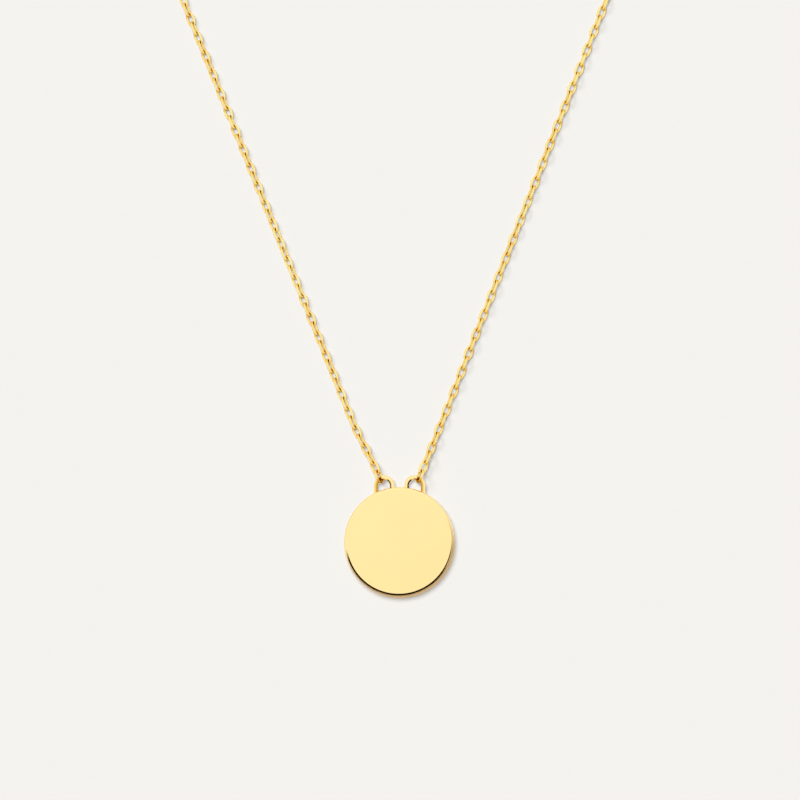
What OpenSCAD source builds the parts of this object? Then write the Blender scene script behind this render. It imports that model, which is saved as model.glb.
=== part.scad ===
// A disc on a fine cable chain, laid flat as a closed necklace.
// The disc lies on its back at z = 0 with its polished face up. The origin is the
// middle of its back, and the chain runs away from it along +Y.

/* [Disc] */
// Diameter of the disc
disc_d = 15; // [11:0.5:25]
// Thickness of the disc
disc_t = 2.2; // [1.2:0.1:2.5]
// Radius that rounds the front and back edges of the disc
edge_r = 0.45; // [0.1:0.05:0.5]

/* [Loops and rings] */
// Wire of the loops on the disc, of the clasp's eyelet and of the end ring
ring_wire = 0.6; // [0.35:0.05:0.7]
// Width of a loop, outside
loop_w = 2.85; // [2.2:0.05:4]
// Height of a loop above the top of the disc
loop_h = 1.7; // [1.5:0.05:3]
// Distance between the middles of the two loops
loop_spacing = 4.2; // [4.1:0.1:6]
// Depth of a loop's legs in the disc, where they are soldered
loop_root = 0.7; // [0.5:0.1:1.5]

/* [Chain] */
// Length of the whole necklace, through the disc's loops and the closed clasp
necklace_l = 450; // [380:5:600]
// Wire of a link
link_wire = 0.34; // [0.2:0.02:0.4]
// Length of a link, outside
link_l = 2.08; // [1.8:0.02:3]
// Width of a link, outside
link_w = 1.24; // [1:0.02:1.8]
// Play of a ring's wire between the sides of the wider link that holds it
hold_play = 0.3; // [0.26:0.01:0.4]

/* [Clasp] */
// Diameter of the clasp's ring, outside
clasp_d = 5.5; // [5:0.1:8]
// Wire of the clasp's ring
clasp_wire = 1; // [0.8:0.05:1.3]
// Diameter of the clasp's eyelet, outside
eyelet_d = 2.4; // [2.2:0.1:3.5]
// Play of the clasp's wire inside the end ring
end_ring_play = 1.1; // [1:0.05:1.8]
// Diameter of the knob that opens the clasp
knob_d = 0.7; // [0.5:0.05:0.9]
// Height of the knob above the clasp's wire
knob_h = 0.5; // [0.3:0.05:0.8]

/* [Lay] */
// Angle between each side of the chain and the disc's centre line
side_angle = 21.55; // [17:0.05:27]
// Distance of each side from the centre line where it starts
side_start = 3; // [2.6:0.05:4]
// Angle off straight up at which the chain pulls on a loop
pull_angle = 30; // [15:1:40]
// Distance that the chain lies to the left of the disc's centre line
lay_shift = 0.25; // [0:0.05:1]
// Angle that the chain is turned to the left about the disc
lay_turn = 0.25; // [0:0.05:2]
// Length over which each end of the chain settles on the surface
settle_l = 9; // [6:0.5:15]
// Angle of the end ring's plane above the surface
end_ring_roll = 55; // [50:1:65]

/* [Fits] */
// Gap between two rings that pull on each other
ring_fit = 0.05; // [0.04:0.005:0.06]
// Gap between a link and the end of the chain beyond it
chain_gap = 0.1; // [0.05:0.01:0.2]

/* [Hidden] */
$fn = 64;
left = -1;
right = 1;

// Loops on the disc: the centre line of each arch, and where the chain pulls on it
loop_r = (loop_w - ring_wire) / 2;
loop_x = loop_spacing / 2;
loop_y = disc_d / 2 + loop_h - loop_w / 2;
loop_z = disc_t / 2;
function pull_point(side) = [
    side * (loop_x + loop_r * sin(pull_angle)),
    loop_y + loop_r * cos(pull_angle),
    loop_z
];

// Links: the half width between the centre lines, in the chain and where a link holds a ring
link_r = (link_w - link_wire) / 2;
hold_r = (ring_wire + hold_play + link_wire) / 2;

// A link that holds a ring: its straight sides, the roll that clears the wire, and its reach
hold_straight = link_l - link_wire - 2 * hold_r;
hold_reach = (ring_wire + link_wire) / 2 + ring_fit;
hold_roll = asin((hold_reach + ring_fit) / hold_r);
link_reach = (link_l - link_wire) / 2 - hold_reach;

// The chain's outer size with its links rolled half way, and the height of its middle
chain_d = 2 * link_r * sin(45) + link_wire;
chain_z = chain_d / 2;
chain_start = link_reach + link_l / 2 + chain_gap;

// Clasp and end ring: centre line radii, heights and the tilt between them
eyelet_r = (eyelet_d - ring_wire) / 2;
clasp_r = (clasp_d - clasp_wire) / 2;
clasp_reach = 2 * eyelet_r + clasp_wire / 2 + 2 * clasp_r;
end_ring_r = (clasp_wire + end_ring_play + ring_wire) / 2;
end_ring_z = end_ring_r * sin(end_ring_roll) + ring_wire / 2;
eyelet_z = hold_r * sin(hold_roll) + link_wire / 2;
clasp_tilt = asin((end_ring_z - eyelet_z) / clasp_reach);
grip = (clasp_wire + ring_wire) / 2 + ring_fit;
clasp_l = clasp_reach * cos(clasp_tilt) - grip + 2 * end_ring_r;

// Route of the chain: a straight side, an arc, and the clasp across the top.
// The arc's radius is what makes the whole necklace as long as it should be.
side_y = pull_point(right)[1];
side_spread = clasp_l / 2 - side_start;
chain_l = (necklace_l - clasp_l - 2 * pull_point(right)[0]) / 2;
arc_angle = 90 + side_angle;
arc_turn = arc_angle * PI / 180;
arc_r = (chain_l - side_spread / sin(side_angle)) / (arc_turn + 1 / tan(side_angle));
side_l = (side_spread + arc_r * cos(side_angle)) / sin(side_angle);
arc_x = clasp_l / 2;
arc_y = side_y + side_l * cos(side_angle) + arc_r * sin(side_angle);
top_y = arc_y + arc_r;

// A point of the chain at a distance s from the disc's loop, before it is turned and shifted
function side_point(s) = [side_start + s * sin(side_angle), side_y + s * cos(side_angle)];
function arc_point(a) = [arc_x + arc_r * cos(a), arc_y + arc_r * sin(a)];
function plain_point(s) = s < side_l
    ? side_point(s)
    : arc_point((s - side_l) / arc_r * 180 / PI - side_angle);
function laid(p) = [
    p[0] * cos(lay_turn) - p[1] * sin(lay_turn) - lay_shift,
    p[0] * sin(lay_turn) + p[1] * cos(lay_turn)
];
function laid_point(side, s) = laid([side * plain_point(s)[0], plain_point(s)[1]]);

// Weight of an end at a distance s from it: one at the end, none once the chain has settled
function settle(s) = s < settle_l ? (1 + cos(180 * s / settle_l)) / 2 : 0;
function end_z(side) = side == left ? eyelet_z : end_ring_z;
function route(side, s) =
    let (
        start = pull_point(side),
        p = laid_point(side, s),
        off = [start[0], start[1]] - laid_point(side, 0),
        z = chain_z + (loop_z - chain_z) * settle(s)
            + (end_z(side) - chain_z) * settle(chain_l - s)
    )
    [p[0] + off[0] * settle(s), p[1] + off[1] * settle(s), z];

// Distances along the chain at which its tube has a section
tube_sides = 8;
settle_rings = 6;
side_rings = 7;
arc_rings = 17;
end_rings = 6;
tube_end = chain_l - chain_start;
function spread(a, b, n) = [for (i = [0 : n - 1]) a + (b - a) * i / n];
stations = concat(
    spread(chain_start, settle_l, settle_rings),
    spread(settle_l, side_l, side_rings),
    spread(side_l, chain_l - settle_l, arc_rings),
    spread(chain_l - settle_l, tube_end, end_rings),
    [tube_end]
);

// One section of the tube: a polygon with a flat side down, square to the route
probe = 0.05;
function unit(v) = v / norm(v);
function section(side, s) =
    let (
        along = unit(route(side, s + probe) - route(side, s - probe)),
        across = unit(cross(along, [0, 0, 1])),
        up = cross(across, along),
        r = chain_d / 2 / cos(180 / tube_sides)
    )
    [for (i = [0 : tube_sides - 1])
        let (a = 360 * (i + 0.5) / tube_sides)
        route(side, s) + r * (cos(a) * across + sin(a) * up)];

module chain_tube(side) {
    rings = len(stations);
    points = [for (s = stations) each section(side, s)];
    walls = [for (i = [0 : rings - 2], j = [0 : tube_sides - 1])
        let (
            a = i * tube_sides + j,
            b = i * tube_sides + (j + 1) % tube_sides
        )
        each [[a, b, b + tube_sides], [a, b + tube_sides, a + tube_sides]]];
    first = [for (j = [tube_sides - 1 : -1 : 0]) j];
    last = [for (j = [0 : tube_sides - 1]) (rings - 1) * tube_sides + j];
    polyhedron(points, concat(walls, [first, last]));
}

// A round ring in the XY plane about the origin
module ring(r, wire) {
    rotate_extrude() translate([r, 0]) circle(d = wire);
}

// A link wide enough for a ring's wire, along X in the XY plane about the origin
module wide_link() {
    for (end = [left, right]) {
        translate([end * hold_straight / 2, 0, 0])
            rotate([0, 0, -90 * end])
                rotate_extrude(angle = 180)
                    translate([hold_r, 0]) circle(d = link_wire);
        translate([-hold_straight / 2, end * hold_r, 0])
            rotate([0, 90, 0])
                cylinder(h = hold_straight, d = link_wire);
    }
}

// A link that holds a ring's wire at the point p, with its length along the heading
module held_link(p, heading, roll) {
    translate(p)
        rotate([0, 0, heading])
            translate([link_reach, 0, 0])
                rotate([roll, 0, 0])
                    wide_link();
}

// Everything about the clasp stands in the clasp's own frame, at the top of the route
module at_top() {
    translate([laid([0, top_y])[0], laid([0, top_y])[1], 0])
        rotate([0, 0, lay_turn])
            children();
}

module disc_plate() {
    rotate_extrude() {
        square([disc_d / 2 - edge_r, disc_t]);
        translate([0, edge_r]) square([disc_d / 2, disc_t - 2 * edge_r]);
        for (z = [edge_r, disc_t - edge_r])
            translate([disc_d / 2 - edge_r, z]) circle(r = edge_r);
    }
}

module disc_loop(side) {
    translate([side * loop_x, loop_y, loop_z])
        rotate_extrude(angle = 180)
            translate([loop_r, 0]) circle(d = ring_wire);
    for (x = [loop_x - loop_r, loop_x + loop_r]) {
        foot = sqrt(pow(disc_d / 2, 2) - x * x) - loop_root;
        translate([side * x, foot, loop_z])
            rotate([-90, 0, 0])
                cylinder(h = loop_y - foot, d = ring_wire);
    }
}

module disc() {
    color("gold") union() {
        disc_plate();
        disc_loop(left);
        disc_loop(right);
    }
}

module disc_link(side) {
    heading = atan2(
        route(side, chain_start)[1] - pull_point(side)[1],
        route(side, chain_start)[0] - pull_point(side)[0]
    );
    color("goldenrod") held_link(pull_point(side), heading, -side * hold_roll);
}

module chain_left() {
    color("khaki") chain_tube(left);
}

module chain_right() {
    color("khaki") chain_tube(right);
}

module clasp() {
    color("gold") at_top()
        translate([-clasp_l / 2, 0, eyelet_z])
            rotate([0, -clasp_tilt, 0]) {
                translate([eyelet_r, 0, 0]) ring(eyelet_r, ring_wire);
                translate([clasp_reach - clasp_r, 0, 0]) {
                    ring(clasp_r, clasp_wire);
                    translate([0, clasp_r, 0])
                        cylinder(h = clasp_wire / 2 + knob_h, d = knob_d);
                }
            }
}

module end_ring() {
    color("goldenrod") at_top()
        translate([clasp_l / 2 - end_ring_r, 0, end_ring_z])
            rotate([end_ring_roll, 0, 0])
                ring(end_ring_r, ring_wire);
}

module clasp_link_left() {
    color("goldenrod") at_top()
        held_link([-clasp_l / 2, 0, eyelet_z], 180, hold_roll);
}

module clasp_link_right() {
    color("goldenrod") at_top()
        held_link([clasp_l / 2, 0, end_ring_z], 0, end_ring_roll - 90);
}

disc();
disc_link(left);  // disc_link_left
disc_link(right);  // disc_link_right
chain_left();
chain_right();
clasp();
end_ring();
clasp_link_left();
clasp_link_right();
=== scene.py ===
"""A gold disc pendant on a fine cable chain, lying on a pale surface as a closed necklace."""

import math
import random

import bmesh
import bpy
import numpy as np
from mathutils import Matrix, Vector


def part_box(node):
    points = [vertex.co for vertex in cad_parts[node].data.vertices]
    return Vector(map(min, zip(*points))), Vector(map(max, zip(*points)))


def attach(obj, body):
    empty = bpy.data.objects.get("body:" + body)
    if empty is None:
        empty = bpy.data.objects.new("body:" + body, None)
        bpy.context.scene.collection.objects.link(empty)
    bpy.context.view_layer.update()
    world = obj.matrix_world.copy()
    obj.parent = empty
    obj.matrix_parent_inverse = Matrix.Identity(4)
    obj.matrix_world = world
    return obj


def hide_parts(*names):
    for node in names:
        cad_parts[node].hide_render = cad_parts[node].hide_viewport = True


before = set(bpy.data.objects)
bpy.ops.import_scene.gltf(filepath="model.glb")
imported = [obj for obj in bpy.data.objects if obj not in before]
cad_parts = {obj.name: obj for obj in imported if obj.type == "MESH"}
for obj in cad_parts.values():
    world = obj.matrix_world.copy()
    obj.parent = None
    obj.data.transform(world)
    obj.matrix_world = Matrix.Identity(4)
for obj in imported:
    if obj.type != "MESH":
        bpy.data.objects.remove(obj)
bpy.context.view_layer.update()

MM = 0.001
LEFT = -1
RIGHT = 1
UP = np.array([0.0, 0.0, 1.0])
disc_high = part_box("disc")[1]

# Disc and loops
DISC_R = disc_high.x
DISC_T = disc_high.z
EDGE_R = 0.45 * MM
CROWN = 0.008 * MM
RING_WIRE = 0.6 * MM
LOOP_W = 2.85 * MM
LOOP_SPACING = 4.2 * MM
LOOP_ROOT = 0.7 * MM
LOOP_R = (LOOP_W - RING_WIRE) / 2
LOOP_X = LOOP_SPACING / 2
LOOP_Y = disc_high.y - LOOP_W / 2
LOOP_Z = DISC_T / 2
SOLDER_FLARE = 0.03 * MM
SOLDER_REACH = 0.22 * MM

# Links of the chain
LINK_WIRE = 0.34 * MM
LINK_L = 2.08 * MM
LINK_W = 1.24 * MM
LINK_END_R = 0.36 * MM
HOLD_PLAY = 0.3 * MM
RING_FIT = 0.05 * MM
LINK_R = (LINK_W - LINK_WIRE) / 2
HOLD_R = (RING_WIRE + HOLD_PLAY + LINK_WIRE) / 2
HOLD_REACH = (RING_WIRE + LINK_WIRE) / 2 + RING_FIT
HOLD_ROLL = math.asin((HOLD_REACH + RING_FIT) / HOLD_R)
LINK_REACH = (LINK_L - LINK_WIRE) / 2 - HOLD_REACH
LAY_ROLL = math.radians(45)
CHAIN_Z = LINK_R * math.sin(LAY_ROLL) + LINK_WIRE / 2
LONGEST_PITCH = LINK_L - 2 * LINK_WIRE

# Clasp and end ring
CLASP_D = 5.5 * MM
CLASP_WIRE = 1 * MM
EYELET_D = 2.4 * MM
END_RING_PLAY = 1.1 * MM
KNOB_D = 0.7 * MM
KNOB_H = 0.5 * MM
END_RING_ROLL = math.radians(55)
EYELET_R = (EYELET_D - RING_WIRE) / 2
CLASP_R = (CLASP_D - CLASP_WIRE) / 2
CLASP_REACH = 2 * EYELET_R + CLASP_WIRE / 2 + 2 * CLASP_R
END_RING_R = (CLASP_WIRE + END_RING_PLAY + RING_WIRE) / 2
END_RING_Z = END_RING_R * math.sin(END_RING_ROLL) + RING_WIRE / 2
EYELET_Z = HOLD_R * math.sin(HOLD_ROLL) + LINK_WIRE / 2
CLASP_TILT = math.asin((END_RING_Z - EYELET_Z) / CLASP_REACH)
GRIP = (CLASP_WIRE + RING_WIRE) / 2 + RING_FIT
CLASP_L = CLASP_REACH * math.cos(CLASP_TILT) - GRIP + 2 * END_RING_R

# Lay of the chain: straight sides, an arc on each side, and the clasp across the top
NECKLACE_L = 450 * MM
SIDE_ANGLE = math.radians(21.55)
SIDE_START = 3 * MM
PULL_ANGLE = math.radians(30)
LAY_SHIFT = 0.25 * MM
LAY_TURN = math.radians(0.25)
SETTLE_L = 9 * MM
PULL_X = LOOP_X + LOOP_R * math.sin(PULL_ANGLE)
PULL_Y = LOOP_Y + LOOP_R * math.cos(PULL_ANGLE)
CHAIN_L = (NECKLACE_L - CLASP_L - 2 * PULL_X) / 2
SIDE_SPREAD = CLASP_L / 2 - SIDE_START
ARC_TURN = math.pi / 2 + SIDE_ANGLE
ARC_R = (CHAIN_L - SIDE_SPREAD / math.sin(SIDE_ANGLE)) / (ARC_TURN + 1 / math.tan(SIDE_ANGLE))
SIDE_L = (SIDE_SPREAD + ARC_R * math.cos(SIDE_ANGLE)) / math.sin(SIDE_ANGLE)
ARC_X = CLASP_L / 2
ARC_Y = PULL_Y + SIDE_L * math.cos(SIDE_ANGLE) + ARC_R * math.sin(SIDE_ANGLE)
TOP_Y = ARC_Y + ARC_R


def pull_point(side):
    """Where the chain pulls on the loop of that side."""
    return np.array([side * PULL_X, PULL_Y, LOOP_Z])


def laid(x, y):
    """A point of the chain's plan after the chain is turned and shifted on the surface."""
    turned_x = x * math.cos(LAY_TURN) - y * math.sin(LAY_TURN) - LAY_SHIFT
    turned_y = x * math.sin(LAY_TURN) + y * math.cos(LAY_TURN)
    return np.array([turned_x, turned_y])


def laid_point(side, s):
    """The plan of the chain at a distance s from the disc's loop."""
    if s < SIDE_L:
        x = SIDE_START + s * math.sin(SIDE_ANGLE)
        y = PULL_Y + s * math.cos(SIDE_ANGLE)
    else:
        angle = (s - SIDE_L) / ARC_R - SIDE_ANGLE
        x = ARC_X + ARC_R * math.cos(angle)
        y = ARC_Y + ARC_R * math.sin(angle)
    return laid(side * x, y)


def settle(s):
    """Weight of an end at a distance s from it: one at the end, none once the chain has settled."""
    return (1 + math.cos(math.pi * s / SETTLE_L)) / 2 if s < SETTLE_L else 0.0


def route(side, s):
    """A point of the chain's centre line, as the part's source has it."""
    end_z = EYELET_Z if side == LEFT else END_RING_Z
    start = pull_point(side)
    plan = laid_point(side, s) + (start[:2] - laid_point(side, 0)) * settle(s)
    z = CHAIN_Z + (LOOP_Z - CHAIN_Z) * settle(s) + (end_z - CHAIN_Z) * settle(CHAIN_L - s)
    return np.array([plan[0], plan[1], z])


def unit(v):
    return v / np.linalg.norm(v)


def smooth_step(value, low, high):
    """None at low and below, one at high and above, and an even ease between them."""
    share = min(max((value - low) / (high - low), 0.0), 1.0)
    return share * share * (3 - 2 * share)


def set_painted_shade(piece, values):
    """Gives each point how much painted shade darkens it."""
    layer = piece.data.attributes.new("painted_shade", "FLOAT", "POINT")
    layer.data.foreach_set("value", values)


def make_object(name, points, faces):
    """An object with a smooth-shaded mesh of these points and faces."""
    mesh = bpy.data.meshes.new(name)
    mesh.from_pydata([tuple(p) for p in points], [], faces)
    mesh.polygons.foreach_set("use_smooth", [True] * len(mesh.polygons))
    mesh.update()
    piece = bpy.data.objects.new(name, mesh)
    bpy.context.scene.collection.objects.link(piece)
    return piece


def join_parts(parts):
    """The points and faces of several parts as one list of each."""
    points = []
    faces = []
    for part_points, part_faces in parts:
        first = len(points)
        points.extend(part_points)
        faces.extend([tuple(first + i for i in face) for face in part_faces])
    return points, faces


def sweep(path, radii, sides, closed):
    """A round tube along a path. The path's plane is given by its own bends, so it lies in XY."""
    rings = len(path)
    points = []
    for i, centre in enumerate(path):
        ahead = path[(i + 1) % rings] if closed or i < rings - 1 else path[i]
        behind = path[i - 1] if closed or i > 0 else path[i]
        along = unit(ahead - behind)
        across = np.cross(along, UP)
        for j in range(sides):
            turn = 2 * math.pi * j / sides
            points.append(centre + radii[i] * (math.cos(turn) * across + math.sin(turn) * UP))
    faces = []
    for i in range(rings if closed else rings - 1):
        for j in range(sides):
            a = i * sides + j
            b = i * sides + (j + 1) % sides
            c = ((i + 1) % rings) * sides + (j + 1) % sides
            d = ((i + 1) % rings) * sides + j
            faces.append((a, d, c, b))
    if not closed:
        faces.append(tuple(range(sides)))
        faces.append(tuple(reversed(range((rings - 1) * sides, rings * sides))))
    return points, faces


def arc(centre, radius, start, end, count):
    """Points on an arc in the XY plane, with both ends."""
    x, y, z = centre
    angles = np.linspace(start, end, count)
    return [np.array([x + radius * math.cos(a), y + radius * math.sin(a), z]) for a in angles]


def moved(points, matrix):
    return [np.array(matrix @ Vector(p)) for p in points]


# Materials

EDGE_TINT = (1.0, 0.88, 0.6, 1)
# Painted shade: how fast red, green and blue fall where the mesh's shade value darkens the gold, and how much
# rougher the gold gets there.
PAINTED_SHADE_POWERS = (1.0, 1.75, 4.2)
PAINTED_SHADE_ROUGH = 0.1
DRIFT_SCALE = 260.0
MOTTLE_SCALE = 5200.0
WAVE_SCALE = 210.0
# Each run of polishing marks: its turn, and its noise scales along and across
POLISH_MARKS = ((0.5, 300.0, 21000.0), (-1.1, 450.0, 26000.0), (2.2, 220.0, 17000.0))


class Tree:
    """A node tree that short calls add nodes to."""

    def __init__(self, tree):
        self.tree = tree
        tree.nodes.clear()

    def add(self, kind, **settings):
        node = self.tree.nodes.new(kind)
        for name, value in settings.items():
            setattr(node, name, value)
        return node

    def feed(self, socket, value):
        """Wires a socket to the value's, or sets a plain value on it."""
        if isinstance(value, bpy.types.NodeSocket):
            self.tree.links.new(value, socket)
        else:
            socket.default_value = value

    def math(self, operation, *values):
        node = self.add("ShaderNodeMath", operation=operation)
        for socket, value in zip(node.inputs, values):
            self.feed(socket, value)
        return node.outputs[0]

    def remap(self, value, low, high, new_low, new_high):
        """The value from low to high, eased, as a value from new_low to new_high, held beyond both."""
        node = self.add("ShaderNodeMapRange", interpolation_type="SMOOTHSTEP")
        for socket, number in zip(node.inputs, (value, low, high, new_low, new_high)):
            self.feed(socket, number)
        return node.outputs[0]

    def noise(self, vector, scale, detail=2.0, rough=0.5):
        node = self.add("ShaderNodeTexNoise")
        self.feed(node.inputs["Vector"], vector)
        self.feed(node.inputs["Scale"], scale)
        self.feed(node.inputs["Detail"], detail)
        self.feed(node.inputs["Roughness"], rough)
        return node.outputs["Fac"]

    def stretched(self, vector, turn, scale):
        """Coordinates turned about Z and then scaled, for marks that run one way."""
        node = self.add("ShaderNodeMapping")
        self.feed(node.inputs["Vector"], vector)
        node.inputs["Rotation"].default_value = (0, 0, turn)
        node.inputs["Scale"].default_value = scale
        return node.outputs[0]

    def mix(self, amount, first, second):
        node = self.add("ShaderNodeMix", data_type="RGBA")
        self.feed(node.inputs[0], amount)
        self.feed(node.inputs[6], first)
        self.feed(node.inputs[7], second)
        return node.outputs[2]


def gold(name, pale, deep, smooth_rough, worn_rough, wave, scratch, drift_share=1.0, painted_light_slope=0.0):
    """Polished yellow gold: a faint drift of hue, polishing marks, waves from the buff, painted shade where
    the mesh gives it, and painted light as a gradient across the piece when one is given.
    """
    material = bpy.data.materials.new(name)
    material.use_nodes = True
    tree = Tree(material.node_tree)
    place = tree.add("ShaderNodeTexCoord").outputs["Object"]
    drift = tree.noise(place, DRIFT_SCALE, detail=1.0)
    mottle = tree.noise(place, MOTTLE_SCALE, detail=3.0, rough=0.6)
    marks = []
    for turn, along_scale, across_scale in POLISH_MARKS:
        scale = (along_scale, across_scale, along_scale)
        streak = tree.noise(tree.stretched(place, turn, scale), 1.0, detail=1.0)
        marks.append(tree.remap(streak, 0.66, 0.74, 0.0, 1.0))
    any_mark = tree.math("MAXIMUM", tree.math("MAXIMUM", marks[0], marks[1]), marks[2])
    shader = tree.add("ShaderNodeBsdfPrincipled")
    shader.inputs["Metallic"].default_value = 1.0
    shader.inputs["Specular Tint"].default_value = EDGE_TINT
    # Painted light: the tone runs from pale gold on the key light's side to deep gold on the far side, across
    # the whole piece, at the given gradient.
    along = tree.add("ShaderNodeVectorMath", operation="DOT_PRODUCT")
    tree.feed(along.inputs[0], place)
    along.inputs[1].default_value = direction(LEAN_AZIMUTH, 90)
    even = tree.remap(drift, 0.35, 0.65, 0.5 - drift_share / 2, 0.5 + drift_share / 2)
    hue = tree.math("MULTIPLY_ADD", along.outputs["Value"], painted_light_slope, even)
    tone = tree.mix(tree.math("MINIMUM", tree.math("MAXIMUM", hue, 0.0), 1.0), pale, deep)
    # Painted shade: the mesh's shade value darkens the base colour, most in blue, and roughens it a little.
    painted_shade = tree.add("ShaderNodeAttribute", attribute_name="painted_shade").outputs["Fac"]
    shared = tree.math("SUBTRACT", 1.0, painted_shade)
    dimmed = tree.add("ShaderNodeCombineColor")
    for socket, power in zip(dimmed.inputs, PAINTED_SHADE_POWERS):
        tree.feed(socket, tree.math("POWER", shared, power))
    base = tree.add("ShaderNodeMix", data_type="RGBA", blend_type="MULTIPLY")
    tree.feed(base.inputs[0], 1.0)
    tree.feed(base.inputs[6], tone)
    tree.feed(base.inputs[7], dimmed.outputs[0])
    tree.feed(shader.inputs["Base Color"], base.outputs[2])
    rough = tree.remap(mottle, 0.3, 0.7, smooth_rough, worn_rough)
    marked = tree.math("MULTIPLY_ADD", any_mark, worn_rough - smooth_rough, rough)
    tree.feed(shader.inputs["Roughness"], tree.math("MULTIPLY_ADD", painted_shade, PAINTED_SHADE_ROUGH, marked))
    waves = tree.add("ShaderNodeBump")
    waves.inputs["Strength"].default_value = 1.0
    waves.inputs["Distance"].default_value = wave
    tree.feed(waves.inputs["Height"], tree.noise(place, WAVE_SCALE, detail=0.0))
    scored = tree.add("ShaderNodeBump", invert=True)
    scored.inputs["Strength"].default_value = 1.0
    scored.inputs["Distance"].default_value = scratch
    tree.feed(scored.inputs["Height"], any_mark)
    tree.feed(scored.inputs["Normal"], waves.outputs[0])
    tree.feed(shader.inputs["Normal"], scored.outputs[0])
    output = tree.add("ShaderNodeOutputMaterial")
    tree.feed(output.inputs["Surface"], shader.outputs[0])
    return material


def paper():
    """The pale, matt sheet under the necklace. Near the disc, mirror rays see a painted reflection of it
    instead: lit on one side, painted shade and then dark on the other.
    """
    material = bpy.data.materials.new("pale_sheet")
    material.use_nodes = True
    tree = Tree(material.node_tree)
    place = tree.add("ShaderNodeTexCoord").outputs["Object"]
    shader = tree.add("ShaderNodeBsdfPrincipled")
    fibre = tree.noise(place, FIBRE_SCALE, detail=4.0)
    tree.feed(shader.inputs["Base Color"], tree.mix(fibre, FLOOR_COLOUR_LOW, FLOOR_COLOUR_HIGH))
    shader.inputs["Roughness"].default_value = 0.9
    shader.inputs["Specular IOR Level"].default_value = 0.0
    apart = tree.add("ShaderNodeVectorMath", operation="LENGTH")
    tree.feed(apart.inputs[0], place)
    # Painted light: a gold-tinted glow on the sheet close round the disc.
    painted_bounce = tree.remap(apart.outputs["Value"], DISC_R, DISC_R + BOUNCE_REACH, 1.0, 0.0)
    tree.feed(shader.inputs["Emission Color"], tree.mix(painted_bounce, FLOOR_GLOW_COLOUR, FLOOR_BOUNCE_COLOUR))
    shader.inputs["Emission Strength"].default_value = FLOOR_GLOW
    heading = tree.add("ShaderNodeVectorMath", operation="NORMALIZE")
    tree.feed(heading.inputs[0], place)
    facing = tree.add("ShaderNodeVectorMath", operation="DOT_PRODUCT")
    tree.feed(facing.inputs[0], heading.outputs[0])
    facing.inputs[1].default_value = direction(MIRROR_SHADE_AZIMUTH, 90)
    shaded = tree.remap(facing.outputs["Value"], *MIRROR_SHADE_TURN, 0.0, 1.0)
    beyond = tree.remap(apart.outputs["Value"], *MIRROR_SHADE_R, 0.0, 1.0)
    dim = tree.mix(beyond, MIRROR_SHADED, MIRROR_DARK)
    # Painted reflection: mirror rays near the disc see this emission instead of the sheet.
    mirrored = tree.add("ShaderNodeEmission")
    tree.feed(mirrored.inputs["Color"], tree.mix(shaded, MIRROR_LIT, dim))
    around = tree.remap(apart.outputs["Value"], *MIRROR_LIT_R, 1.0, 0.0)
    close = tree.math("MAXIMUM", shaded, around)
    near = tree.math("MULTIPLY", close, tree.remap(apart.outputs["Value"], *MIRROR_R, 1.0, 0.0))
    path = tree.add("ShaderNodeLightPath")
    choose = tree.add("ShaderNodeMixShader")
    tree.feed(choose.inputs[0], tree.math("MULTIPLY", near, path.outputs["Is Glossy Ray"]))
    tree.feed(choose.inputs[1], shader.outputs[0])
    tree.feed(choose.inputs[2], mirrored.outputs[0])
    output = tree.add("ShaderNodeOutputMaterial")
    tree.feed(output.inputs["Surface"], choose.outputs[0])
    return material


# Pieces


def disc_body():
    """The plate as a turned shape: faint crown, rounded edges, flat back."""
    turns = 256
    edge_steps = 20
    flat_r = DISC_R - EDGE_R
    profile = []
    for share in (0.2, 0.4, 0.6, 0.75, 0.87, 0.95, 0.985):
        profile.append((flat_r * share, DISC_T - CROWN * share ** 4))
    for i in range(edge_steps + 1):
        tilt = math.pi / 2 * i / edge_steps
        z = DISC_T - EDGE_R + EDGE_R * math.cos(tilt)
        profile.append((flat_r + EDGE_R * math.sin(tilt), z - CROWN * math.cos(tilt)))
    for i in range(edge_steps + 1):
        tilt = math.pi / 2 * i / edge_steps
        profile.append((flat_r + EDGE_R * math.cos(tilt), EDGE_R - EDGE_R * math.sin(tilt)))
    profile.append((flat_r * 0.985, 0.0))
    profile.append((flat_r * 0.5, 0.0))
    points = [np.array([0.0, 0.0, DISC_T])]
    for r, z in profile:
        for j in range(turns):
            turn = 2 * math.pi * j / turns
            points.append(np.array([r * math.cos(turn), r * math.sin(turn), z]))
    points.append(np.array([0.0, 0.0, 0.0]))
    faces = [(0, 1 + j, 1 + (j + 1) % turns) for j in range(turns)]
    for i in range(len(profile) - 1):
        for j in range(turns):
            a = 1 + i * turns + j
            b = 1 + i * turns + (j + 1) % turns
            faces.append((a, a + turns, b + turns, b))
    last = 1 + (len(profile) - 1) * turns
    faces.extend([(len(points) - 1, last + (j + 1) % turns, last + j) for j in range(turns)])
    return points, faces


def disc_loop(side):
    """A U of wire that runs into the disc's edge, a little thicker where solder has wicked up it."""
    legs = []
    for x in (LOOP_X + LOOP_R, LOOP_X - LOOP_R):
        foot = math.sqrt(DISC_R ** 2 - x ** 2)
        legs.append((x, foot))
    leg_steps = 14
    path = []
    radii = []

    def add_leg(x, foot, rising):
        ys = np.linspace(foot - LOOP_ROOT, LOOP_Y, leg_steps, endpoint=False)
        for y in ys if rising else reversed(ys):
            path.append(np.array([side * x, y, LOOP_Z]))
            reach = max(y - foot, 0.0) / SOLDER_REACH
            radii.append(RING_WIRE / 2 + SOLDER_FLARE * math.exp(-reach * reach))

    add_leg(*legs[0], True)
    start, end = (0.0, math.pi) if side == RIGHT else (math.pi, 0.0)
    for p in arc((side * LOOP_X, LOOP_Y, LOOP_Z), LOOP_R, start, end, 41):
        path.append(p)
        radii.append(RING_WIRE / 2)
    add_leg(*legs[1], False)
    return sweep(path, radii, 32, False)


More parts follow.
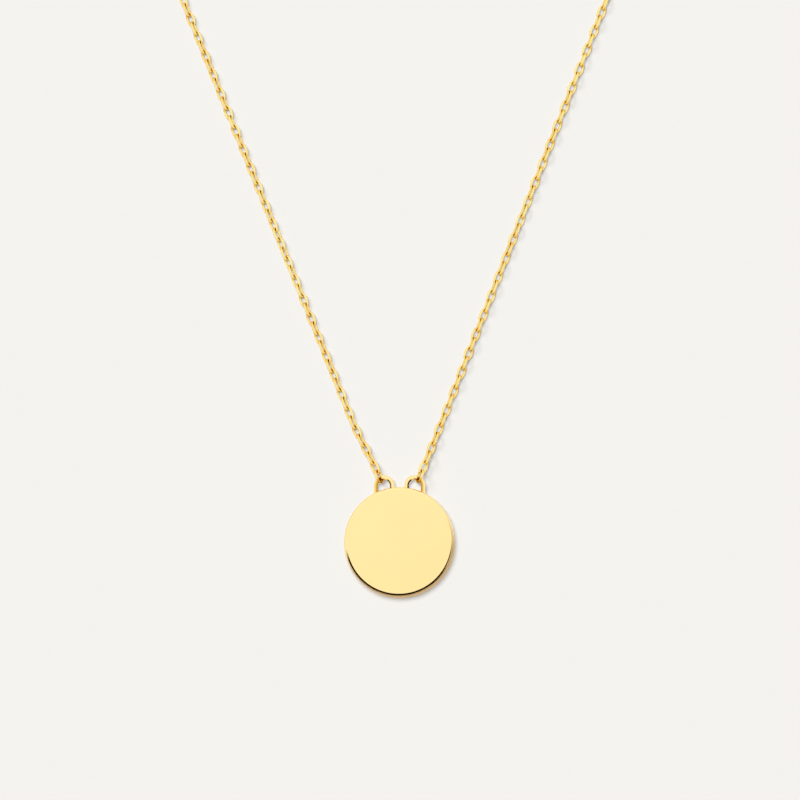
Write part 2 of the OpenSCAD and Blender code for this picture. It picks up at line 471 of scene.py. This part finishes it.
def loop_painted_shade(x, y):
    """How much painted shade darkens a point of the loops: the side towards the opening, and where the chain
    hooks in.

    inward runs from -1 at the outside of the wire to 1 at its inside. turn is the angle round the
    loop in degrees, from its outer leg over its top to its inner leg.
    """
    if math.hypot(x, y) < DISC_R or y < 0:
        return 0.0
    out = abs(x) - LOOP_X
    up = max(y - LOOP_Y, 0.0)
    inward = (LOOP_R - math.hypot(out, up)) / (RING_WIRE / 2)
    turn = math.degrees(math.atan2(up, out))
    on_inner = smooth_step(turn, 112, 128)
    on_outer = 1 - smooth_step(turn, 25, 55)
    inner = 0.93 * smooth_step(inward, 0.3, 0.6)
    outer = 0.35 * smooth_step(inward, -0.5, 0.3)
    on_hook = smooth_step(turn, 20, 45) * (1 - smooth_step(turn, 80, 105))
    under = 0.5 * smooth_step(inward, 0.3, 0.8)
    in_hook = smooth_step(turn, 44, 54) * (1 - smooth_step(turn, 66, 78))
    end_or_hook_shade = 0.85 * smooth_step(inward, -0.7, -0.2)
    return max(on_inner * inner + on_outer * outer, on_hook * under, in_hook * end_or_hook_shade)


def fuse(piece, tools):
    """Joins the tools to the piece as one closed skin, and removes them."""
    for tool in tools:
        union = piece.modifiers.new("union", "BOOLEAN")
        union.operation = "UNION"
        union.solver = "EXACT"
        union.object = tool
    ready = bpy.context.evaluated_depsgraph_get()
    mesh = bpy.data.meshes.new_from_object(piece.evaluated_get(ready))
    piece.modifiers.clear()
    piece.data = mesh
    for tool in tools:
        bpy.data.objects.remove(tool)
    return piece


def make_disc(material):
    disc = make_object("disc_with_loops", *disc_body())
    loops = [make_object("loop", *disc_loop(side)) for side in (LEFT, RIGHT)]
    fuse(disc, loops)
    # Painted shade on the loops: black on the inner legs' opening sides, brown on the outer legs, and dark
    # where the chain hooks in.
    set_painted_shade(disc, [loop_painted_shade(vertex.co.x, vertex.co.y) for vertex in disc.data.vertices])
    disc.data.materials.clear()
    disc.data.materials.append(material)
    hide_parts("disc")
    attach(disc, "root")
    return disc


def link_path(end_r, half_width):
    """A link's centre line, its length along X: round ends, and sides that bow out to the half width."""
    end_steps = 12
    side_steps = 8
    reach = (LINK_L - LINK_WIRE) / 2 - end_r
    bow = 2 * math.atan((half_width - end_r) / reach)
    half = arc((reach, 0, 0), end_r, bow - math.pi / 2, math.pi / 2 - bow, end_steps + 1)
    if bow > 0:
        side_r = end_r + reach / math.sin(bow)
        middle = (0, half_width - side_r, 0)
        half += arc(middle, side_r, math.pi / 2 - bow, math.pi / 2 + bow, side_steps + 1)[1:-1]
    else:
        half.append(np.array([0.0, half_width, 0.0]))
    return half + [-p for p in half]


# How much painted shade darkens each part of a link, from none to one
EVEN_SHADE = 0.04
INNER_SHADE = 0.03
END_SHADES = (0.08, 0.2, 0.42)
CORNER_SHADE = 0.22
HOOK_SHADE = 0.4


def link_parts(end_r, half_width, all_round=0.0, corner=0, hook=0):
    """A link's points, faces and painted shade values: dark in its ends, at a low corner, and in a loop."""
    wire_sides = 12
    path = link_path(end_r, half_width)
    points, faces = sweep(path, [LINK_WIRE / 2] * len(path), wire_sides, True)
    reach = (LINK_L - LINK_WIRE) / 2 - end_r
    painted_shade = []
    for centre in path:
        at_end = smooth_step(abs(centre[0]), reach - LINK_WIRE / 2, reach + 0.8 * end_r)
        for j in range(wire_sides):
            inward = -math.cos(2 * math.pi * j / wire_sides)
            inside = smooth_step(inward, -0.3, 0.8)
            deepest = smooth_step(inward, 0.3, 0.9)
            hidden = HOOK_SHADE * smooth_step(hook * centre[0], 0.2 * end_r, 0.9 * end_r)
            aside = smooth_step(corner * centre[1], 0.0, 0.7 * half_width)
            low = CORNER_SHADE * aside * smooth_step(centre[0], 0.2 * reach, 0.9 * reach)
            end_or_hook_shade = at_end * (END_SHADES[0] + END_SHADES[1] * inside + END_SHADES[2] * deepest)
            painted_shade.append(max(all_round + INNER_SHADE * inside + end_or_hook_shade, hidden, low))
    return points, faces, painted_shade


def chain_line(side):
    """The chain's centre line in fine steps, with the true length run at each."""
    steps = 3000
    points = np.array([route(side, CHAIN_L * i / steps) for i in range(steps + 1)])
    run = np.concatenate([[0.0], np.cumsum(np.linalg.norm(np.diff(points, axis=0), axis=1))])
    return points, run


def at_run(line, distance):
    """The point of the line at this distance along it, or straight on beyond an end."""
    points, run = line
    if distance < 0:
        return points[0] + unit(points[1] - points[0]) * distance
    if distance > run[-1]:
        return points[-1] + unit(points[-1] - points[-2]) * (distance - run[-1])
    return np.array([np.interp(distance, run, points[:, k]) for k in range(3)])


def link_frame(line, distance, roll, radius):
    """Where a link stands: its middle on the line or lifted off the floor, and its three axes."""
    half = LONGEST_PITCH / 2
    along = unit(at_run(line, distance + half) - at_run(line, distance - half))
    level = unit(np.cross(UP, along))
    over = np.cross(along, level)
    aside = math.cos(roll) * level + math.sin(roll) * over
    face = np.cross(along, aside)
    centre = at_run(line, distance)
    centre[2] = max(centre[2], radius * abs(aside[2]) + LINK_WIRE / 2)
    return centre, np.array([along, aside, face])


STEEP_ROLL = math.radians(60)
DRIFT_LINKS = 9
ROLL_JITTER = math.radians(6)


def link_rolls(side, count, seed):
    """The roll of each link: neighbours stand across each other, and the ends suit what they hold."""
    dice = random.Random(seed)
    last_roll = HOLD_ROLL if side == LEFT else END_RING_ROLL - math.pi / 2
    rolls = []
    wander = 0.0
    for i in range(count):
        quarter = math.pi / 2 * (i % 2)
        wander = 0.7 * wander + dice.uniform(-ROLL_JITTER, ROLL_JITTER)
        calm = min(1.0, i / DRIFT_LINKS, (count - 1 - i) / DRIFT_LINKS)
        rolls.append(-side * (STEEP_ROLL - quarter) + wander * calm)
    turn_left = (last_roll - rolls[-1] + math.pi / 2) % math.pi - math.pi / 2
    for i in range(count):
        near_clasp = math.exp(-((count - 1 - i) / DRIFT_LINKS) ** 2)
        rolls[i] += turn_left * near_clasp
    return rolls


def make_chain(side, name, replaced, material, seed):
    line = chain_line(side)
    whole = line[1][-1]
    gaps = math.ceil((whole - 2 * LINK_REACH) / LONGEST_PITCH)
    pitch = (whole - 2 * LINK_REACH) / gaps
    rolls = link_rolls(side, gaps + 1, seed)
    parts = []
    painted_shade = []
    for i, roll in enumerate(rolls):
        holds = i in (0, gaps)
        if holds:
            points, faces, shade_values = link_parts(HOLD_R, HOLD_R, hook=-1 if i == 0 else 0)
        elif i % 2 == 0:
            points, faces, shade_values = link_parts(LINK_END_R, LINK_R, all_round=EVEN_SHADE)
        else:
            points, faces, shade_values = link_parts(LINK_END_R, LINK_R, corner=-side)
        centre, axes = link_frame(line, LINK_REACH + i * pitch, roll, HOLD_R if holds else LINK_R)
        parts.append((list(np.array(points) @ axes + centre), faces))
        painted_shade.extend(shade_values)
    chain = make_object(name, *join_parts(parts))
    # Painted shade on the links: their ends, a low corner of each odd link, an even shade all round each even
    # link, and the hook at the disc.
    set_painted_shade(chain, painted_shade)
    chain.data.materials.append(material)
    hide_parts(*replaced)
    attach(chain, "root")
    return chain


def at_top():
    """The clasp's own place at the top of the route."""
    x, y = laid(0.0, TOP_Y)
    return Matrix.Translation((x, y, 0.0)) @ Matrix.Rotation(LAY_TURN, 4, "Z")


def torus(radius, wire, turns, sides):
    path = arc((0, 0, 0), radius, 0.0, 2 * math.pi, turns + 1)[:-1]
    return sweep(path, [wire / 2] * turns, sides, True)


def clasp_ring():
    """The spring ring, with the fine seams at the two ends of its bolt."""
    turns = 180
    seam = 0.06 * MM
    seam_width = 0.07 * MM
    bolt_ends = (math.radians(-28), math.radians(28))
    path = arc((0, 0, 0), CLASP_R, 0.0, 2 * math.pi, turns + 1)[:-1]
    radii = []
    for i in range(turns):
        angle = 2 * math.pi * i / turns
        deep = 0.0
        for end in bolt_ends:
            off = ((angle - end + math.pi) % (2 * math.pi) - math.pi) * CLASP_R / seam_width
            deep = max(deep, math.exp(-off * off))
        radii.append(CLASP_WIRE / 2 - seam * deep)
    return sweep(path, radii, 28, True)


def turned_knob():
    """The knob that slides the bolt: a short stem with a domed head."""
    sides = 28
    top = CLASP_WIRE / 2 + KNOB_H
    r = KNOB_D / 2
    profile = [(r * 0.7, 0.0), (r * 0.7, top * 0.62), (r * 0.98, top * 0.7), (r, top * 0.78), (r, top * 0.86)]
    for i in range(1, 6):
        tilt = math.pi / 2 * i / 6
        profile.append((r * math.cos(tilt), top * (0.86 + 0.14 * math.sin(tilt))))
    points = [np.array([0.0, 0.0, 0.0])]
    for radius, z in profile:
        for j in range(sides):
            turn = 2 * math.pi * j / sides
            points.append(np.array([radius * math.cos(turn), radius * math.sin(turn), z]))
    points.append(np.array([0.0, 0.0, top]))
    faces = [(0, 1 + (j + 1) % sides, 1 + j) for j in range(sides)]
    for i in range(len(profile) - 1):
        for j in range(sides):
            a = 1 + i * sides + j
            b = 1 + i * sides + (j + 1) % sides
            faces.append((a, b, b + sides, a + sides))
    last = 1 + (len(profile) - 1) * sides
    faces.extend([(len(points) - 1, last + j, last + (j + 1) % sides) for j in range(sides)])
    return points, faces


def make_clasp(material):
    tilt = Matrix.Rotation(-CLASP_TILT, 4, "Y")
    place = at_top() @ Matrix.Translation((-CLASP_L / 2, 0, EYELET_Z)) @ tilt
    ring_place = place @ Matrix.Translation((CLASP_REACH - CLASP_R, 0, 0))
    knob_place = ring_place @ Matrix.Translation((0, CLASP_R, 0))
    points, faces = clasp_ring()
    clasp = make_object("spring_ring_clasp", moved(points, ring_place), faces)
    points, faces = torus(EYELET_R, RING_WIRE, 72, 20)
    eyelet = make_object("eyelet", moved(points, place @ Matrix.Translation((EYELET_R, 0, 0))), faces)
    points, faces = turned_knob()
    knob = make_object("knob", moved(points, knob_place), faces)
    fuse(clasp, [eyelet, knob])
    clasp.data.materials.clear()
    clasp.data.materials.append(material)
    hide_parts("clasp")
    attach(clasp, "root")
    return clasp


def make_end_ring(material):
    place = at_top() @ Matrix.Translation((CLASP_L / 2 - END_RING_R, 0, END_RING_Z))
    points, faces = torus(END_RING_R, RING_WIRE, 96, 20)
    place = place @ Matrix.Rotation(END_RING_ROLL, 4, "X")
    ring = make_object("loose_end_ring", moved(points, place), faces)
    ring.data.materials.append(material)
    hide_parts("end_ring")
    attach(ring, "root")
    return ring


# Surroundings

FLOOR_COLOUR_LOW = (0.297, 0.2915, 0.2805, 1)
FLOOR_COLOUR_HIGH = (0.303, 0.2975, 0.2865, 1)
FLOOR_GLOW_COLOUR = (1.0, 0.98, 0.945, 1)
# Painted light: close round the disc the sheet's glow turns to this gold-tinted colour, for the light the
# gold throws on it.
FLOOR_BOUNCE_COLOUR = (1.0, 0.794, 0.534, 1)
BOUNCE_REACH = 0.35 * MM
FLOOR_GLOW = 0.285
# What mirror rays near the disc see of the sheet, a painted reflection: lit on one side, with painted shade
# near the disc and dark further out on the other.
MIRROR_SHADE_AZIMUTH = -75
MIRROR_SHADE_TURN = (-0.2, 0.4)
MIRROR_SHADE_R = (11.5 * MM, 15 * MM)
MIRROR_LIT_R = (11 * MM, 14 * MM)
MIRROR_R = (80 * MM, 100 * MM)
MIRROR_LIT = (1.02, 1.01, 0.97, 1)
MIRROR_SHADED = (0.63, 0.53, 0.48, 1)
MIRROR_DARK = (0.05, 0.03, 0.02, 1)
BACKDROP = (0.913, 0.896, 0.863, 1)
FLOOR_R = 6.0
FIBRE_SCALE = 900.0


def stage_sheet(name, radius, material):
    """A round, level sheet at the origin, not attached to the object's body."""
    mesh = bpy.data.meshes.new(name)
    shape = bmesh.new()
    bmesh.ops.create_circle(shape, cap_ends=True, segments=96, radius=radius)
    shape.to_mesh(mesh)
    shape.free()
    sheet = bpy.data.objects.new(name, mesh)
    bpy.context.scene.collection.objects.link(sheet)
    sheet.data.materials.append(material)
    return sheet


def direction(azimuth, zenith_angle):
    """A unit vector at that azimuth from +X towards +Y, and that angle from straight up."""
    a = math.radians(azimuth)
    z = math.radians(zenith_angle)
    return (math.cos(a) * math.sin(z), math.sin(a) * math.sin(z), math.cos(z))


# Brightness of the tent, and of a soft box in it: its azimuth, its angle from straight up, its edge
DOME = 1.075
SOFTBOX = 0.06
SOFTBOX_AT = (100, 42)
SOFTBOX_EDGE = (14, 32)

# The dark panel, with angles in degrees from its middle and radii from the disc's axis
PANEL_UP = 10 * MM
PANEL_R = 100 * MM
PANEL_MIDDLE = 265
PANEL_START = (-84, -70)
PANEL_END = (58, 84)
PANEL_TIP = 24
PANEL_TIP_R = (9.5 * MM, 11 * MM, 18 * MM, 24 * MM)
PANEL_EDGE = (9.2 * MM, 10.1 * MM)
HAZE = (60, 80, 104, 132)
HAZE_EDGE = (13 * MM, 20 * MM)
HAZE_DEPTH = 0.45
PANEL_COLOUR = (0.012, 0.004, 0.001, 1)
EDGE_SEES = (DISC_R - 1.15 * MM, DISC_R - 0.8 * MM)

# The lights: azimuth, angle from straight up, width and strength
KEY_LIGHT = (123, 12, 26, 5.02)
SIDE_LIGHT = (132, 45, 24, 2.3)


def make_world():
    """What the gold mirrors: a white tent. The camera sees a plain pale backdrop."""
    world = bpy.data.worlds.new("tent")
    bpy.context.scene.world = world
    world.use_nodes = True
    world.cycles_visibility.diffuse = False
    tree = Tree(world.node_tree)
    way = tree.add("ShaderNodeTexCoord").outputs["Generated"]

    def patch(centre, inner, outer):
        """One within the inner angle of the centre, falling to none at the outer angle."""
        product = tree.add("ShaderNodeVectorMath", operation="DOT_PRODUCT")
        tree.feed(product.inputs[0], way)
        product.inputs[1].default_value = centre
        near = math.cos(math.radians(inner))
        far = math.cos(math.radians(outer))
        return tree.remap(product.outputs["Value"], far, near, 0.0, 1.0)

    softbox = patch(direction(*SOFTBOX_AT), *SOFTBOX_EDGE)
    light = tree.math("MULTIPLY_ADD", softbox, SOFTBOX, DOME)
    path = tree.add("ShaderNodeLightPath")
    direct = tree.math("SUBTRACT", 1.0, tree.math("MINIMUM", path.outputs["Diffuse Depth"], 1.0))
    studio = tree.add("ShaderNodeBackground")
    studio.inputs["Color"].default_value = (1, 1, 1, 1)
    tree.feed(studio.inputs["Strength"], tree.math("MULTIPLY", light, direct))
    backdrop = tree.add("ShaderNodeBackground")
    backdrop.inputs["Color"].default_value = BACKDROP
    choose = tree.add("ShaderNodeMixShader")
    tree.feed(choose.inputs[0], path.outputs["Is Camera Ray"])
    tree.feed(choose.inputs[1], studio.outputs[0])
    tree.feed(choose.inputs[2], backdrop.outputs[0])
    output = tree.add("ShaderNodeOutputWorld")
    tree.feed(output.inputs["Surface"], choose.outputs[0])


def panel_material():
    """Black over one side of the disc, with soft edges, a tip along the rim, and a haze beside it.

    It shows only in mirror rays that set out from the rounded edge, not in those from the flat face.
    """
    material = bpy.data.materials.new("dark_panel")
    material.use_nodes = True
    tree = Tree(material.node_tree)
    place = tree.add("ShaderNodeTexCoord").outputs["Object"]
    split = tree.add("ShaderNodeSeparateXYZ")
    tree.feed(split.inputs[0], place)
    x, y, _ = split.outputs
    apart = tree.add("ShaderNodeVectorMath", operation="LENGTH")
    tree.feed(apart.inputs[0], place)
    radius = apart.outputs["Value"]

    def rises(value, low, high):
        return tree.remap(value, low, high, 0.0, 1.0)

    def angle(value, degrees):
        return rises(value, *(math.radians(v) for v in degrees))

    cosine = math.cos(math.radians(PANEL_MIDDLE))
    sine = math.sin(math.radians(PANEL_MIDDLE))
    ahead = tree.math("ADD", tree.math("MULTIPLY", x, cosine), tree.math("MULTIPLY", y, sine))
    aside = tree.math("SUBTRACT", tree.math("MULTIPLY", y, cosine), tree.math("MULTIPLY", x, sine))
    bearing = tree.math("ARCTAN2", aside, ahead)
    tip_ends = tree.remap(radius, *PANEL_TIP_R[2:], 1.0, 0.0)
    band = tree.math("MULTIPLY", rises(radius, *PANEL_TIP_R[:2]), tip_ends)
    behind = tree.math("MULTIPLY_ADD", band, -math.radians(PANEL_TIP), bearing)
    before_end = tree.math("SUBTRACT", 1.0, angle(behind, PANEL_END))
    sector = tree.math("MULTIPLY", angle(bearing, PANEL_START), before_end)
    dark = tree.math("MULTIPLY", sector, rises(radius, *PANEL_EDGE))
    before_haze_end = tree.math("SUBTRACT", 1.0, angle(bearing, HAZE[2:]))
    haze_sector = tree.math("MULTIPLY", angle(bearing, HAZE[:2]), before_haze_end)
    haze = tree.math("MULTIPLY", haze_sector, rises(radius, *HAZE_EDGE))
    cover = tree.math("MAXIMUM", dark, tree.math("MULTIPLY", haze, HAZE_DEPTH))
    length = tree.add("ShaderNodeLightPath").outputs["Ray Length"]
    run_squared = tree.math("MULTIPLY_ADD", length, length, -PANEL_UP ** 2)
    run = tree.math("SQRT", tree.math("MAXIMUM", run_squared, 0.0))
    from_edge = rises(tree.math("SUBTRACT", radius, run), *EDGE_SEES)
    clear = tree.add("ShaderNodeBsdfTransparent")
    black = tree.add("ShaderNodeEmission")
    black.inputs["Color"].default_value = PANEL_COLOUR
    choose = tree.add("ShaderNodeMixShader")
    tree.feed(choose.inputs[0], tree.math("MULTIPLY", cover, from_edge))
    tree.feed(choose.inputs[1], clear.outputs[0])
    tree.feed(choose.inputs[2], black.outputs[0])
    output = tree.add("ShaderNodeOutputMaterial")
    tree.feed(output.inputs["Surface"], choose.outputs[0])
    return material


def make_panel():
    """A dark panel low over the near side of the table, which only mirror rays see."""
    panel = stage_sheet("dark_panel", PANEL_R, panel_material())
    panel.location.z = DISC_T + PANEL_UP
    panel.visible_camera = False
    panel.visible_diffuse = False
    panel.visible_shadow = False


def make_sun(name, azimuth, from_zenith, width, strength):
    """A soft light that lays shadows away from its azimuth, and that the gold doesn't mirror."""
    lamp = bpy.data.lights.new(name, "SUN")
    lamp.energy = strength
    lamp.angle = math.radians(width)
    sun = bpy.data.objects.new(name, lamp)
    bpy.context.scene.collection.objects.link(sun)
    sun.rotation_mode = "QUATERNION"
    sun.rotation_quaternion = Vector(direction(azimuth, from_zenith)).to_track_quat("Z", "Y")
    sun.visible_glossy = False
    return sun


def limit_shadows(sun, pieces):
    """Lets only these pieces cast a shadow in the light."""
    casters = bpy.data.collections.new("shadow_casters")
    for piece in pieces:
        casters.objects.link(piece)
    sun.light_linking.blocker_collection = casters


LEAN = 7.5
LEAN_AZIMUTH = -57
IMAGE = 800
PX_PER_MM = 7.34
DISC_PX = (399.45, 542.38)
CAMERA_DISTANCE = 2.0


def make_camera():
    """Almost straight above, leaning a little to the lower right, far off with a long lens."""
    back = Vector(direction(LEAN_AZIMUTH, LEAN))
    right = Vector((0, 1, 0)).cross(back).normalized()
    up = back.cross(right)
    px = MM / PX_PER_MM
    target = Vector((0, 0, DISC_T / 2))
    target += right * (IMAGE / 2 - DISC_PX[0]) * px + up * (DISC_PX[1] - IMAGE / 2) * px
    camera = bpy.data.objects.new("camera", bpy.data.cameras.new("camera"))
    bpy.context.scene.collection.objects.link(camera)
    turn = Matrix((right, up, back)).transposed()
    camera.matrix_world = Matrix.Translation(target + back * CAMERA_DISTANCE) @ turn.to_4x4()
    camera.data.sensor_width = 36
    camera.data.lens = camera.data.sensor_width * CAMERA_DISTANCE / (IMAGE * px)
    camera.data.clip_start = 0.05
    camera.data.clip_end = 50
    camera.data.dof.use_dof = False
    bpy.context.scene.camera = camera


make_camera()
make_world()
make_sun("soft_key", *KEY_LIGHT)
side_light = make_sun("side_light", *SIDE_LIGHT)
stage_sheet("floor", FLOOR_R, paper())
make_panel()
bpy.context.scene.view_settings.view_transform = "Standard"

PALE_GOLD = (1.0, 0.785, 0.372, 1)
DEEP_GOLD = (1.0, 0.757, 0.345, 1)
WIRE_PALE = (1.0, 0.815, 0.345, 1)
WIRE_DEEP = (1.0, 0.755, 0.28, 1)
LEFT_NODES = ("chain_left", "disc_link_left", "clasp_link_left")
RIGHT_NODES = ("chain_right", "disc_link_right", "clasp_link_right")
LEFT_SEED = 11
RIGHT_SEED = 23

# Each finish: roughness where smooth and where worn, and the depth of the waves and of the scratches
FACE_FINISH = (0.04, 0.065, 0.4e-6, 0.02e-6)
WIRE_FINISH = (0.05, 0.1, 1e-6, 0.1e-6)
# The face gets painted light: paler towards the upper left, deeper towards the lower right.
face_gold = gold("polished_gold", PALE_GOLD, DEEP_GOLD, *FACE_FINISH, drift_share=0.2, painted_light_slope=55.0)
wire_gold = gold("chain_gold", WIRE_PALE, WIRE_DEEP, *WIRE_FINISH)
clasp_gold = gold("clasp_gold", WIRE_PALE, WIRE_DEEP, *WIRE_FINISH)
make_disc(face_gold)
left_links = make_chain(LEFT, "links_left", LEFT_NODES, wire_gold, LEFT_SEED)
right_links = make_chain(RIGHT, "links_right", RIGHT_NODES, wire_gold, RIGHT_SEED)
clasp = make_clasp(clasp_gold)
end_ring = make_end_ring(clasp_gold)
limit_shadows(side_light, (left_links, right_links, clasp, end_ring))
